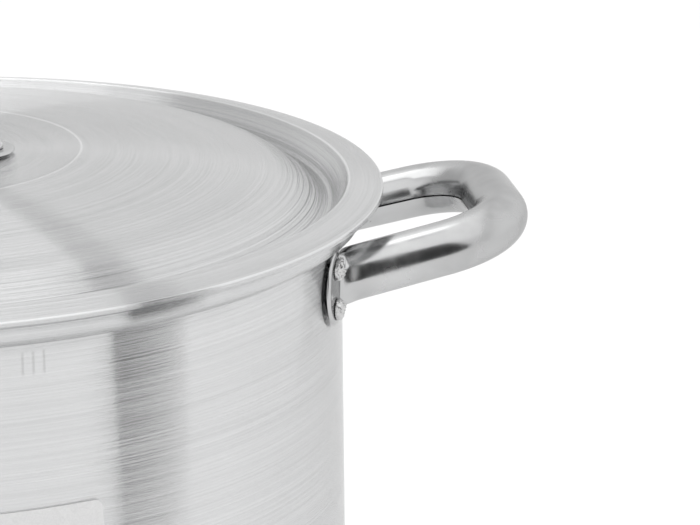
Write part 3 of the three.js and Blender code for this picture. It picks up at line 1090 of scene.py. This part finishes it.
def studio_light(s):
    """The light from each direction: an even tent, a front softbox and a dim gap beside it.

    The softbox and the gap lean towards LAMP_LEAN, as tall lamps tipped over the pot would,
    so that their edges show at one bearing on the body and on the lid.
    """
    x, y, z = s.split(s.add("ShaderNodeTexCoord", {}, output="Generated"))
    light = s.fade(sector(s, x, y, *BACK_GLOW), 0.0, 1.0, 1.0, BACK_GLOW_LEVEL)
    light = dimmed(s, light, sector(s, x, y, *LEFT_SHADE), LEFT_SHADE_DEPTH)
    lean_x = s.math("SUBTRACT", x, LAMP_LEAN.x)
    lean_y = s.math("SUBTRACT", y, LAMP_LEAN.y)
    clear = s.fade(s.length(lean_x, lean_y), 0.12, 0.4)
    front = s.math("MULTIPLY", clear, sector(s, lean_x, lean_y, *FRONT_BOX))
    level = s.fade(z, 0.35, 0.6, *FRONT_BOX_LEVELS)
    light = s.math("ADD", light, s.math("MULTIPLY", front, level))
    beside = s.math("MULTIPLY", clear, s.math("SUBTRACT", 1.0, front))
    gap = s.math("MULTIPLY", beside, sector(s, lean_x, lean_y, *SIDE_GAP))
    return dimmed(s, light, gap, SIDE_GAP_DEPTH)


def build_world():
    """The studio's light on everything, and plain white paper behind for the eye."""
    world = bpy.data.worlds.new("studio")
    bpy.context.scene.world = world
    s = Shader(world)
    eye = s.add("ShaderNodeLightPath", {}, output="Is Camera Ray")
    unseen = s.math("MULTIPLY", s.math("SUBTRACT", 1.0, eye), studio_light(s))
    brightness = s.math("ADD", s.math("MULTIPLY", eye, PAPER_WHITE), unseen)
    shader = s.add("ShaderNodeBackground", {"Color": s.grey(brightness), "Strength": 1.0})
    s.add("ShaderNodeOutputWorld", {"Surface": shader}, output=None)


def black_felt():
    """Matt black, to mirror as nothing."""
    material, s = new_material("black_felt")
    nap = s.noise(s.place(), 90.0, 2.0)
    s.surface(Base_Color=s.grey(s.fade(nap, 0.3, 0.7, 0.01, 0.03)), Roughness=1.0)
    return material


def build_card():
    """A black card close in front of the right handle, seen only in reflections."""
    low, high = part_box("right_handle")
    grip = Vector((high.x, 0, (low.z + high.z) / 2))
    lower_edge = []
    upper_edge = []
    steps = 24
    for j in range(steps + 1):
        share = j / steps
        ends = zip(CARD_LEFT, CARD_RIGHT, strict=True)
        x, y, bottom, top = (lerp(left, right, share) for left, right in ends)
        lower_edge.append(grip + Vector((x, y, bottom)))
        upper_edge.append(grip + Vector((x + CARD_LEAN * (1 - share), y, top)))
    rows = [edge + edge[::-1] for edge in (lower_edge, upper_edge)]
    card = grid_mesh("studio_flag", rows)
    card.data.materials.append(black_felt())
    card.visible_camera = False
    card.visible_diffuse = False
    card.visible_shadow = False
    card.visible_transmission = False


def add_softbox(name, place, aim, size, power):
    """A rectangular lamp at a place, facing a point, in watts."""
    data = bpy.data.lights.new(name, "AREA")
    data.shape = "RECTANGLE"
    data.size = size[0]
    data.size_y = size[1]
    data.energy = power
    lamp = bpy.data.objects.new(name, data)
    bpy.context.scene.collection.objects.link(lamp)
    lamp.location = place
    direction = Vector(aim) - Vector(place)
    lamp.rotation_euler = direction.to_track_quat("-Z", "Y").to_euler()
    lamp.visible_camera = False


def build_lights():
    """One weak softbox high above the pot, for soft shadows."""
    top = Vector((0, 0, POT_TOP))
    add_softbox("softbox_above", top + Vector((-0.5, 0.4, 1.8)), top, (1.6, 1.2), 6)


# The camera: its place from the middle of the lid's edge, the way it looks and its roll.
CAMERA_LENS = 199.5
CAMERA_FROM_LID = Vector((-0.0420, -1.6775, 0.4392))
CAMERA_LOOK = Vector((0.14047, 0.95128, -0.27446))
CAMERA_ROLL = math.radians(-0.6)


def build_camera():
    """A long lens close to the pot's right shoulder, looking a little down."""
    data = bpy.data.cameras.new("camera")
    data.lens = CAMERA_LENS
    data.sensor_width = 36
    data.clip_end = 200
    camera = bpy.data.objects.new("camera", data)
    bpy.context.scene.collection.objects.link(camera)
    lid_centre = Vector((0, 0, LID_EDGE_Z))
    level = CAMERA_LOOK.to_track_quat("-Z", "Y").to_matrix().to_4x4()
    roll = Matrix.Rotation(CAMERA_ROLL, 4, "Z")
    camera.matrix_world = Matrix.Translation(lid_centre + CAMERA_FROM_LID) @ level @ roll
    bpy.context.scene.camera = camera


def set_view():
    """Plain tones, without a film look."""
    scene = bpy.context.scene
    scene.view_settings.view_transform = "Standard"
    scene.view_settings.look = "None"


build_camera()
build_world()
build_lights()
build_floor()
build_card()
build_pieces()
set_view()
